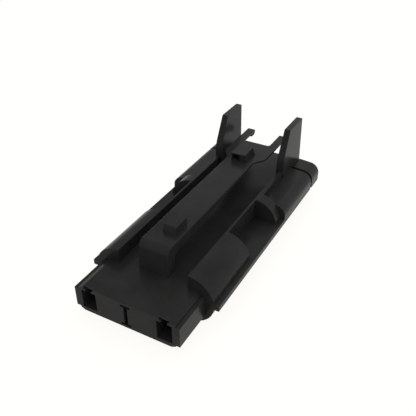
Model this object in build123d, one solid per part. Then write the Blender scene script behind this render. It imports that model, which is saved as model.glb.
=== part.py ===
"""Two-cavity connector housing with a latch arm, and the cover that closes its rear end.

Lengths are in millimetres. While it is built, Y runs from the nose's front face to the rear and Z is
measured from the nose's mid-height. The finished pieces stand on Z = 0, centred on the origin.
"""
import os

from build123d import *

# Nose that enters the mating half
NOSE_LENGTH = 8.8
NOSE_WIDTH = 22.0
NOSE_THICKNESS = 5.66
RAIL_WIDTH = 0.86
RAIL_THICKNESS = 4.24
NOSE_BEVEL = 0.9
NOSE_RISER = 0.25

# Terminal cavities and the keyed slot between them
CAVITY_PITCH = 15.88
CAVITY_WIDTH = 3.12
CAVITY_HEIGHT = 4.04
CAVITY_RISE = 0.04
CAVITY_DEPTH = 22.6
KEY_STEM_WIDTH = 1.3
KEY_STEM_HEIGHT = 0.35
KEY_BAR_WIDTH = 2.1
KEY_BAR_HEIGHT = 0.2
KEY_MOUTH = 0.4
PASSAGE_HEIGHT = 2.2
SLOT_HEIGHT = 4.74
SLOT_STEM = 0.8
SLOT_BAR_WIDTH = 2.04
SLOT_BAR_HEIGHT = 0.5
SLOT_DEPTH = 7.0

# Barrels round the terminals, side flanges and the windows behind the barrels' front halves
BARREL_RADIUS = 5.13
BARREL_PITCH = 15.22
BARREL_RISE = 0.47
CHANNEL_WIDTH = 14.9
FLANGE_OVERHANG = 0.99
FLANGE_THICKNESS = 1.08
FLANGE_RISE = 0.43
WINDOW_START = 23.6
WINDOW_LENGTH = 12.75
WINDOW_WALL = 0.45
SADDLE_LENGTH = 2.75

# Rear body with its socket
BODY_TOP = 4.25
BODY_FALL = 0.4
BODY_CORNER = 2.3
SOCKET_WALL = 1.1
SOCKET_DEPTH = 3.95
CHAMBER_DEPTH = 4.5

# Guard fins beside the latch
FIN_THICKNESS = 1.4
FIN_OUTER_SPACING = 16.86
FIN_TOP = 14.72
FIN_LENGTH = 10.1
FIN_SHOULDER = 8.5
FIN_LEAN = 2.87
FIN_BLEND = 6.0
FIN_EDGE = 0.5
FIN_DRAFT = 0.02

# Rear cover and the deck's tongue that runs out over it
OVERALL_LENGTH = 61.7
TONGUE_REACH = 2.2
TONGUE_THICKNESS = 0.75
COLLAR_LENGTH = 4.25
COVER_GROOVE = 0.8
COVER_CLEARANCE = 0.08
WIRE_BORE_RADIUS = 1.65

# Latch arm: post, tapering beam, flared web and two fingers
ARM_WIDTH = 6.3
ARM_TOP = 9.0
ARM_EDGE = 0.2
ARM_START = 9.0
POST_LENGTH = 2.7
POST_LEAN = 0.7
POST_EDGE = 1.4
POST_ROOT = 1.2
BEAM_ROOT_THICKNESS = 2.1
BEAM_LENGTH = 32.3
WEB_THICKNESS = 0.5
WEB_WIDTH = 9.94
FLARE_LENGTH = 4.2
FINGER_LENGTH = 6.1
FINGER_WIDTH = 1.77
FINGER_CORNER = 0.6
HOOK_LENGTH = 1.7
HOOK_DEPTH = 0.6
HOOK_CHAMFER = 0.4

# Locking tooth and release pad on top of the arm
TOOTH_START = 14.0
TOOTH_LENGTH = 4.2
TOOTH_WIDTH = 2.7
TOOTH_OFFSET = 0.58
TOOTH_HEIGHT = 1.45
TOOTH_RAMP = 0.5
PAD_START = 43.9
PAD_LENGTH = 4.2
PAD_WIDTH = 3.3
PAD_OFFSET = -0.15
PAD_FLARE = 0.45
PAD_HEIGHT = 1.7
PAD_LID = 0.3
PAD_SIDE_WALL = 0.25
PAD_POCKET_WIDTH = 1.75
PAD_POCKET_DEPTH = 2.6
PAD_COVE = 0.4

# Overlap that joins two bodies of one moulding
MERGE = 0.3

# Heights and places that follow from the sizes above
DECK = NOSE_THICKNESS / 2
CHANNEL_EDGE = CHANNEL_WIDTH / 2
BARREL_TOP = BARREL_RISE + BARREL_RADIUS
BARREL_BOTTOM = BARREL_RISE - BARREL_RADIUS
FLANGE_EDGE = BARREL_PITCH / 2 + BARREL_RADIUS + FLANGE_OVERHANG
FLANGE_TOP = FLANGE_RISE + FLANGE_THICKNESS / 2
FLANGE_BOTTOM = FLANGE_RISE - FLANGE_THICKNESS / 2
FIN_OUTER = FIN_OUTER_SPACING / 2
COVER_END = OVERALL_LENGTH - TONGUE_REACH
COLLAR_START = COVER_END - COLLAR_LENGTH
BODY_START = WINDOW_START + WINDOW_LENGTH + SADDLE_LENGTH
BODY_END = COLLAR_START - COVER_GROOVE
SOCKET_START = BODY_END - SOCKET_DEPTH
TONGUE_BOTTOM = DECK - TONGUE_THICKNESS
TONGUE_EDGE = FIN_OUTER + FIN_DRAFT * (FIN_TOP - TONGUE_BOTTOM)
FIN_FOOT = COVER_END - FIN_LENGTH
SIDES = (-1, 1)


def across(sketch, start, end):
    """Solid of a cross-section, drawn as X and Z, from one Y to another."""
    plane = Plane(origin=(0, start, 0), x_dir=(1, 0, 0), z_dir=(0, -1, 0))
    return extrude(plane * sketch, amount=start - end)


def along(sketch, low, high):
    """Solid of a side profile, drawn as Y and Z, from one X to another."""
    return extrude(Plane.YZ.offset(low) * sketch, amount=high - low)


def area(*points):
    return make_face(Polyline(*points, close=True))


def span(x_low, x_high, z_low, z_high):
    """Upright rectangle in a cross-section."""
    return Pos((x_low + x_high) / 2, (z_low + z_high) / 2) * Rectangle(x_high - x_low, z_high - z_low)


def barrel_outline():
    return Pos(0, BARREL_RISE) * SlotCenterToCenter(BARREL_PITCH, 2 * BARREL_RADIUS)


def body_outline():
    """Top that falls a little to its rounded corners, and the barrels' lower half below the flanges."""
    shoulder = BODY_TOP - BODY_FALL
    right = [(FIN_OUTER, BODY_TOP), (FLANGE_EDGE, shoulder), (FLANGE_EDGE, FLANGE_BOTTOM)]
    top = area(*right, *[(-x, z) for x, z in reversed(right)])
    for side in SIDES:
        corner = top.vertices().sort_by_distance((side * FLANGE_EDGE, shoulder))[0]
        top = fillet(corner, BODY_CORNER)
    half = span(-FLANGE_EDGE, FLANGE_EDGE, BARREL_BOTTOM - MERGE, FLANGE_RISE)
    return top + (barrel_outline() & half)


def socket_outline(play):
    """The body's outline set in by its wall, notched for the tongue and the fins' roots."""
    notch = TONGUE_EDGE + play
    inside = offset(body_outline(), -SOCKET_WALL - play, kind=Kind.INTERSECTION)
    return inside - span(-notch, notch, TONGUE_BOTTOM - play, BODY_TOP)


def nose():
    rail, edge = RAIL_THICKNESS / 2, NOSE_WIDTH / 2
    step = edge - RAIL_WIDTH
    half = [(step - NOSE_BEVEL, DECK), (step, rail + NOSE_RISER), (step, rail), (edge, rail)]
    right = half + [(x, -z) for x, z in reversed(half)]
    return across(area(*right, *[(-x, z) for x, z in reversed(right)]), 0, NOSE_LENGTH)


def barrels():
    """Both barrels with their flanges, and the saddle between each window and the body."""
    solid = across(barrel_outline(), NOSE_LENGTH, BODY_START)
    flange = span(-FLANGE_EDGE, FLANGE_EDGE, FLANGE_BOTTOM, FLANGE_TOP)
    solid += across(flange, NOSE_LENGTH, BODY_START)
    inner, outer = CHANNEL_EDGE + WINDOW_WALL, FLANGE_EDGE + MERGE
    for side in SIDES:
        window = span(*sorted((side * inner, side * outer)), FLANGE_TOP, BARREL_TOP + MERGE)
        solid -= across(window, WINDOW_START, WINDOW_START + WINDOW_LENGTH)
    return solid


def channel():
    """Space over the deck between the barrels' inner walls, open at the nose and at the rear."""
    return across(span(-CHANNEL_EDGE, CHANNEL_EDGE, DECK, FIN_TOP), NOSE_LENGTH - MERGE, OVERALL_LENGTH)


def terminal_ways():
    """Cavity and its T-shaped keyway from the front, low passage under the window, and chamber behind it."""
    floor = CAVITY_RISE - CAVITY_HEIGHT / 2
    roof = floor + CAVITY_HEIGHT
    bar = roof + KEY_STEM_HEIGHT
    ways = Part()
    for side in SIDES:
        x = side * CAVITY_PITCH / 2
        low, high = x - CAVITY_WIDTH / 2, x + CAVITY_WIDTH / 2
        left, right = x - KEY_BAR_WIDTH / 2, x + KEY_BAR_WIDTH / 2
        stem = span(x - KEY_STEM_WIDTH / 2, x + KEY_STEM_WIDTH / 2, CAVITY_RISE, bar + KEY_BAR_HEIGHT)
        ways += across(span(low, high, floor, roof), 0, CAVITY_DEPTH)
        ways += across(stem + span(left, right, bar, bar + KEY_BAR_HEIGHT), 0, NOSE_LENGTH)
        ways += across(span(left, right, bar, DECK + MERGE), 0, KEY_MOUTH)
        ways += across(span(low, high, floor, floor + PASSAGE_HEIGHT), CAVITY_DEPTH, SOCKET_START)
        ways += across(span(low, high, floor, roof), SOCKET_START - CHAMBER_DEPTH, SOCKET_START)
    return ways


def keyed_slot():
    middle = SLOT_HEIGHT / 2
    slot = Rectangle(SLOT_STEM, SLOT_HEIGHT)
    for side in SIDES:
        slot += Pos(0, side * (middle - SLOT_BAR_HEIGHT / 2)) * Rectangle(SLOT_BAR_WIDTH, SLOT_BAR_HEIGHT)
    return across(slot, 0, SLOT_DEPTH)


def fins():
    """Drafted guard fins with leaning fronts, and the wall that joins each to its barrel."""
    lean = (FIN_FOOT + FIN_LEAN, FIN_TOP)
    profile = area((FIN_FOOT, TONGUE_BOTTOM), (FIN_FOOT, FIN_SHOULDER), lean,
                   (COVER_END, FIN_TOP), (COVER_END, TONGUE_BOTTOM))
    for place, radius in ((lean, FIN_EDGE), ((FIN_FOOT, FIN_SHOULDER), FIN_BLEND)):
        profile = fillet(profile.vertices().sort_by_distance(place)[0], radius)
    plate = along(profile, -TONGUE_EDGE, TONGUE_EDGE)
    inner = FIN_OUTER - FIN_THICKNESS
    root = inner - (TONGUE_EDGE - FIN_OUTER)
    pair = Part()
    for side in SIDES:
        section = area((side * inner, FIN_TOP), (side * FIN_OUTER, FIN_TOP),
                       (side * TONGUE_EDGE, TONGUE_BOTTOM), (side * root, TONGUE_BOTTOM))
        pair += plate & across(section, FIN_FOOT, COVER_END)
        wall = span(*sorted((side * CHANNEL_EDGE, side * FIN_OUTER)), DECK, BARREL_TOP)
        pair += across(wall & barrel_outline(), BODY_START, FIN_FOOT + MERGE)
    return pair


def arm():
    """Latch arm: a leaning post, a beam that thins to the rear, and a flared web with two fingers."""
    half, root = ARM_WIDTH / 2, ARM_TOP - BEAM_ROOT_THICKNESS
    back = ARM_START + POST_LENGTH
    tail = back + BEAM_LENGTH
    web_end = COVER_END - FINGER_LENGTH
    under = ARM_TOP - WEB_THICKNESS
    side = area((ARM_START, DECK - MERGE), (ARM_START + POST_LEAN, ARM_TOP), (tail, ARM_TOP), (tail, under),
                (back, root), (back, DECK - MERGE))
    corners = side.vertices()
    side = fillet(corners.sort_by_distance((ARM_START + POST_LEAN, ARM_TOP))[0], POST_EDGE)
    side = fillet(side.vertices().sort_by_distance((back, root))[0], POST_ROOT)
    solid = along(side, -half, half)
    solid = fillet(solid.edges().filter_by(Axis.Y).group_by(Axis.Z)[-1], ARM_EDGE)

    wide, flare_end = WEB_WIDTH / 2, tail + FLARE_LENGTH
    inner, turn = wide - FINGER_WIDTH, tail + FLARE_LENGTH / 2
    outline = [Line((0, tail - MERGE), (half, tail - MERGE)), Line((half, tail - MERGE), (half, tail)),
               Bezier((half, tail), (half, turn), (wide, turn), (wide, flare_end)),
               Line((wide, flare_end), (wide, COVER_END)), Line((wide, COVER_END), (inner, COVER_END)),
               Line((inner, COVER_END), (inner, web_end)), Line((inner, web_end), (0, web_end)),
               Line((0, web_end), (0, tail - MERGE))]
    web = make_face(outline)
    web = fillet(web.vertices().sort_by_distance((inner, web_end))[0], FINGER_CORNER)
    web += mirror(web, Plane.YZ)
    solid += extrude(Plane.XY.offset(under) * web, amount=WEB_THICKNESS)
    for sign in SIDES:
        low = under - HOOK_DEPTH
        hook = area((COVER_END - HOOK_LENGTH, ARM_TOP), (COVER_END, ARM_TOP), (COVER_END, low + HOOK_CHAMFER),
                    (COVER_END - HOOK_CHAMFER, low), (COVER_END - HOOK_LENGTH, low))
        solid += along(hook, *sorted((sign * inner, sign * wide)))
    return solid


def tooth():
    end, top = TOOTH_START + TOOTH_LENGTH, ARM_TOP + TOOTH_HEIGHT
    profile = area((TOOTH_START, ARM_TOP - MERGE), (TOOTH_START, ARM_TOP), (TOOTH_START + TOOTH_RAMP, top),
                   (end, top), (end, ARM_TOP - MERGE))
    return along(profile, TOOTH_OFFSET - TOOTH_WIDTH / 2, TOOTH_OFFSET + TOOTH_WIDTH / 2)


def pad():
    """Release pad with a pocket under its lid, flared at its right-hand foot and coved into the web behind."""
    left, right = PAD_OFFSET - PAD_WIDTH / 2, PAD_OFFSET + PAD_WIDTH / 2
    end, top, low = PAD_START + PAD_LENGTH, ARM_TOP + PAD_HEIGHT, ARM_TOP - MERGE
    block = across(area((left, low), (left, top), (right, top), (right + PAD_FLARE, ARM_TOP),
                        (right + PAD_FLARE, low)), PAD_START, end)
    foot = area((end - MERGE, low), (end - MERGE, ARM_TOP + PAD_COVE), (end, ARM_TOP + PAD_COVE),
                (end + PAD_COVE, ARM_TOP), (end + PAD_COVE, low))
    block += along(foot, left, right + PAD_FLARE)
    pocket_left = left + PAD_SIDE_WALL
    pocket = span(pocket_left, pocket_left + PAD_POCKET_WIDTH, ARM_TOP, top - PAD_LID)
    return block - across(pocket, PAD_START, PAD_START + PAD_POCKET_DEPTH)


def housing():
    solid = barrels() + across(body_outline(), BODY_START - MERGE, BODY_END)
    solid -= channel()
    solid += across(span(-TONGUE_EDGE, TONGUE_EDGE, TONGUE_BOTTOM, DECK), BODY_END - MERGE, OVERALL_LENGTH)
    solid += nose() + fins()
    solid += arm() + tooth() + pad()
    solid -= terminal_ways() + keyed_slot()
    return solid - across(socket_outline(0), SOCKET_START, BODY_END)


def rear_cover():
    """Collar that repeats the body's outline, with a spigot that seats on the bottom of the socket."""
    solid = across(body_outline(), COLLAR_START, COVER_END)
    solid += across(socket_outline(COVER_CLEARANCE), SOCKET_START, COLLAR_START)
    gap = TONGUE_EDGE + COVER_CLEARANCE
    notch = span(-gap, gap, TONGUE_BOTTOM - COVER_CLEARANCE, BODY_TOP + MERGE)
    solid -= across(notch, COLLAR_START, COVER_END)
    for side in SIDES:
        bore = Pos(side * CAVITY_PITCH / 2, CAVITY_RISE) * Circle(WIRE_BORE_RADIUS)
        solid -= across(bore, SOCKET_START, COVER_END)
    return solid


os.makedirs("parts", exist_ok=True)
stand = Pos(0, -OVERALL_LENGTH / 2, -BARREL_BOTTOM)
export_step(stand * housing(), "parts/housing.step")
export_step(stand * rear_cover(), "parts/rear_cover.step")
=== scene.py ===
"""Looks for the connector housing: near-black moulded nylon on a white floor under soft light."""

import math

import bpy
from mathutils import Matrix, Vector

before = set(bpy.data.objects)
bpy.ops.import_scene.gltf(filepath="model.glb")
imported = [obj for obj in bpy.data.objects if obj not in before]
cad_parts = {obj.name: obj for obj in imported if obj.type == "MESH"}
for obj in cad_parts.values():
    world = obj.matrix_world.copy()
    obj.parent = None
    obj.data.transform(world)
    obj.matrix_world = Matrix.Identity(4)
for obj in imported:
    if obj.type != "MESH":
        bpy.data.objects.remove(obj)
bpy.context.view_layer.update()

# Camera: angle, aim and lens fitted to the photograph, in degrees, metres and lens millimetres
AZIMUTH = 28.712
ELEVATION = 34.52
AIM = (-0.003389, 0.005213, 0.00466)
DISTANCE = 0.127166
LENS = 49.54
SENSOR = 36.0
CLIP_START = 0.005

# Nylon: the darkest and palest colour of each piece, and the paler colour of its edges, partly wear and
# partly a painted edge highlight
HOUSING_COLOURS = (0.0134, 0.0131, 0.0122, 1), (0.0213, 0.0208, 0.0196, 1)
COVER_COLOURS = (0.0139, 0.0135, 0.0127, 1), (0.0219, 0.0215, 0.0203, 1)
WEAR_AND_HIGHLIGHT_COLOUR = (0.03, 0.03, 0.029, 1)

# Nylon: reflection, roughness with its spread, and the sizes of mottle, flow marks, grain and the paler
# edges (wear and painted edge highlight)
SPECULAR = 0.065
IOR = 1.5
ROUGHNESS = 0.25
SMOOTHER, ROUGHER = 0.04, 0.05
FLOW_SHARE = 0.25
MOTTLE_PER_METRE = 160
FLOW_PER_METRE = 700
FLOW_STRETCH = 0.2
GRAIN_PER_METRE = 5200
GRAIN_STRENGTH = 0.12
GRAIN_DEPTH = 0.00002
EDGE_WIDTH = 0.00012
WEAR_AND_HIGHLIGHT_FULL, WEAR_AND_HIGHLIGHT_NONE = 0.86, 0.99

# Floor: matt pale paper, and the white that the camera and reflections see in most of its place
FLOOR_SIZE = 4.0
FLOOR_COLOUR = (0.82, 0.82, 0.82, 1)
FLOOR_ROUGHNESS = 0.9
FLOOR_SPECULAR = 0.1
WHITE_COLOUR = (1.0, 0.985, 0.955, 1)
WHITE_STRENGTH = 1.06
WHITE_SHARE = 0.88
WHITE_IN_REFLECTION = 0.85

# Light: the surroundings with their darker left end, and one soft lamp overhead
AMBIENT = 1.055
AMBIENT_COLOUR = (0.96, 0.975, 1.0, 1)
LEFT_COLOUR = (0.96 * 0.3, 0.975 * 0.3, 0.3, 1)
LEFT_START, LEFT_END = -0.3, -0.9
LAMP_PLACE = (0.02, 0.05, 0.35)
LAMP_SIZE = 0.3
LAMP_WATTS = 0.15


def node(tree, kind, **values):
    """Adds a shader node. Values are its properties or, by input name, its sockets."""
    made = tree.nodes.new(kind)
    for name, value in values.items():
        if hasattr(made, name):
            setattr(made, name, value)
        else:
            made.inputs[name.replace("_", " ")].default_value = value
    return made


def ramp(tree, factor, start, end):
    """A colour ramp between two stops, each a place and a colour."""
    made = tree.nodes.new("ShaderNodeValToRGB")
    for stop, (place, colour) in zip(made.color_ramp.elements, (start, end)):
        stop.position = place
        stop.color = colour
    tree.links.new(factor, made.inputs[0])
    return made.outputs[0]


def math_node(tree, operation, first, second, **values):
    """Joins two sockets, or a socket and a number, by one operation."""
    made = node(tree, "ShaderNodeMath", operation=operation, **values)
    tree.links.new(first, made.inputs[0])
    if isinstance(second, float):
        made.inputs[1].default_value = second
    else:
        tree.links.new(second, made.inputs[1])
    return made.outputs[0]


def plastic(name, colours, seed):
    """Satin moulded nylon: uneven near-black colour, fine grain, faint flow marks, paler edges that are
    partly wear and partly a painted highlight.
    """
    material = bpy.data.materials.new(name)
    material.use_nodes = True
    tree = material.node_tree
    link = tree.links.new
    shader = tree.nodes["Principled BSDF"]
    shader.inputs["Specular IOR Level"].default_value = SPECULAR
    shader.inputs["IOR"].default_value = IOR

    # The seed moves the pattern, so that no two pieces carry the same one
    shift = node(tree, "ShaderNodeVectorMath", operation="ADD")
    shift.inputs[1].default_value = (seed, seed * 0.7, seed * 0.3)
    link(node(tree, "ShaderNodeTexCoord").outputs["Object"], shift.inputs[0])
    place = shift.outputs[0]
    mottle = node(tree, "ShaderNodeTexNoise", Scale=MOTTLE_PER_METRE, Detail=5.0, Roughness=0.6)
    link(place, mottle.inputs["Vector"])

    # Colour: mottled, and paler in patches where a rounded edge turns away from its own face, partly
    # wear and partly a painted edge highlight
    dark, light = colours
    body = ramp(tree, mottle.outputs["Fac"], (0.3, dark), (0.7, light))
    rounded = node(tree, "ShaderNodeBevel", samples=6, Radius=EDGE_WIDTH)
    facing = node(tree, "ShaderNodeVectorMath", operation="DOT_PRODUCT")
    link(rounded.outputs[0], facing.inputs[0])
    link(node(tree, "ShaderNodeNewGeometry").outputs["Normal"], facing.inputs[1])
    # The paler edge colour is partly wear and partly a painted highlight along the edges
    wear_and_highlight = ramp(tree, facing.outputs["Value"], (WEAR_AND_HIGHLIGHT_FULL, (1, 1, 1, 1)), (WEAR_AND_HIGHLIGHT_NONE, (0, 0, 0, 1)))
    tint = node(tree, "ShaderNodeMix", data_type="RGBA")
    link(math_node(tree, "MULTIPLY", wear_and_highlight, mottle.outputs["Fac"]), tint.inputs["Factor"])
    link(body, tint.inputs[6])
    tint.inputs[7].default_value = WEAR_AND_HIGHLIGHT_COLOUR
    link(tint.outputs[2], shader.inputs["Base Color"])

    # Roughness: the mottle with marks drawn out along the flow
    drawn = node(tree, "ShaderNodeMapping", Scale=(1.0, FLOW_STRETCH, 1.0))
    link(place, drawn.inputs["Vector"])
    flow = node(tree, "ShaderNodeTexNoise", Scale=FLOW_PER_METRE, Detail=2.0, Roughness=0.5)
    link(drawn.outputs[0], flow.inputs["Vector"])
    blend = node(tree, "ShaderNodeMix", data_type="FLOAT")
    blend.inputs["Factor"].default_value = FLOW_SHARE
    link(mottle.outputs["Fac"], blend.inputs[2])
    link(flow.outputs["Fac"], blend.inputs[3])
    sheen = node(tree, "ShaderNodeMapRange", To_Min=ROUGHNESS - SMOOTHER, To_Max=ROUGHNESS + ROUGHER)
    link(blend.outputs[0], sheen.inputs["Value"])
    link(sheen.outputs[0], shader.inputs["Roughness"])

    # Surface: the fine grain of the mould
    grain = node(tree, "ShaderNodeTexNoise", Scale=GRAIN_PER_METRE, Detail=3.0, Roughness=0.55)
    link(place, grain.inputs["Vector"])
    bump = node(tree, "ShaderNodeBump", Strength=GRAIN_STRENGTH, Distance=GRAIN_DEPTH)
    link(grain.outputs["Fac"], bump.inputs["Height"])
    link(bump.outputs[0], shader.inputs["Normal"])
    return material


def dress(name, material):
    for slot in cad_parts[name].material_slots:
        slot.material = material


def seen_directly(tree):
    """How far a ray sees the white ground: fully from the camera, a little less in a reflection."""
    path = node(tree, "ShaderNodeLightPath")
    seen = path.outputs["Is Camera Ray"]
    for name in ("Is Glossy Ray", "Is Transmission Ray"):
        reflected = math_node(tree, "MULTIPLY", path.outputs[name], WHITE_IN_REFLECTION)
        seen = math_node(tree, "MAXIMUM", seen, reflected)
    return seen


def white_floor():
    """A pale floor that looks white to the camera and in reflections, and keeps the shadow."""
    bpy.ops.mesh.primitive_plane_add(size=FLOOR_SIZE, location=(0, 0, 0))
    floor = bpy.context.object
    floor.name = "floor"
    material = bpy.data.materials.new("white_ground")
    material.use_nodes = True
    tree = material.node_tree
    shader = tree.nodes["Principled BSDF"]
    shader.inputs["Base Color"].default_value = FLOOR_COLOUR
    shader.inputs["Roughness"].default_value = FLOOR_ROUGHNESS
    shader.inputs["Specular IOR Level"].default_value = FLOOR_SPECULAR
    glow = node(tree, "ShaderNodeEmission", Strength=WHITE_STRENGTH)
    glow.inputs["Color"].default_value = WHITE_COLOUR
    mix = node(tree, "ShaderNodeMixShader")
    tree.links.new(math_node(tree, "MULTIPLY", seen_directly(tree), WHITE_SHARE), mix.inputs[0])
    tree.links.new(shader.outputs[0], mix.inputs[1])
    tree.links.new(glow.outputs[0], mix.inputs[2])
    tree.links.new(mix.outputs[0], tree.nodes["Material Output"].inputs["Surface"])
    floor.data.materials.append(material)


def studio_world():
    """Even light from all round that fades towards the left. The camera sees it white everywhere."""
    world = bpy.data.worlds.new("studio")
    world.use_nodes = True
    tree = world.node_tree
    side = node(tree, "ShaderNodeSeparateXYZ")
    tree.links.new(node(tree, "ShaderNodeTexCoord").outputs["Generated"], side.inputs[0])
    left = node(tree, "ShaderNodeMapRange", interpolation_type="SMOOTHSTEP",
                From_Min=LEFT_START, From_Max=LEFT_END)
    tree.links.new(side.outputs["X"], left.inputs["Value"])
    camera_ray = node(tree, "ShaderNodeLightPath").outputs["Is Camera Ray"]
    unseen = math_node(tree, "SUBTRACT", left.outputs[0], camera_ray, use_clamp=True)
    shade = node(tree, "ShaderNodeMix", data_type="RGBA")
    tree.links.new(unseen, shade.inputs["Factor"])
    shade.inputs[6].default_value = AMBIENT_COLOUR
    shade.inputs[7].default_value = LEFT_COLOUR
    back = tree.nodes["Background"]
    tree.links.new(shade.outputs[2], back.inputs["Color"])
    back.inputs["Strength"].default_value = AMBIENT
    bpy.context.scene.world = world


def overhead_lamp():
    """One large soft lamp above, turned towards the part."""
    light = bpy.data.lights.new("overhead", "AREA")
    light.size = LAMP_SIZE
    light.energy = LAMP_WATTS
    lamp = bpy.data.objects.new("overhead", light)
    lamp.location = LAMP_PLACE
    lamp.rotation_euler = (-Vector(LAMP_PLACE)).to_track_quat("-Z", "Y").to_euler()
    bpy.context.collection.objects.link(lamp)


def photo_camera():
    """The camera at the photograph's viewing angle."""
    azimuth, elevation = math.radians(AZIMUTH), math.radians(ELEVATION)
    level = math.cos(elevation)
    back = Vector((math.sin(azimuth) * level, -math.cos(azimuth) * level, math.sin(elevation)))
    data = bpy.data.cameras.new("camera")
    data.lens = LENS
    data.sensor_width = SENSOR
    data.clip_start = CLIP_START
    camera = bpy.data.objects.new("camera", data)
    camera.location = Vector(AIM) + back * DISTANCE
    camera.rotation_euler = (-back).to_track_quat("-Z", "Y").to_euler()
    bpy.context.collection.objects.link(camera)
    bpy.context.scene.camera = camera


dress("housing", plastic("housing_nylon", HOUSING_COLOURS, 0.0))
dress("rear_cover", plastic("cover_nylon", COVER_COLOURS, 3.1))
white_floor()
studio_world()
overhead_lamp()
photo_camera()
bpy.context.scene.view_settings.view_transform = "Standard"
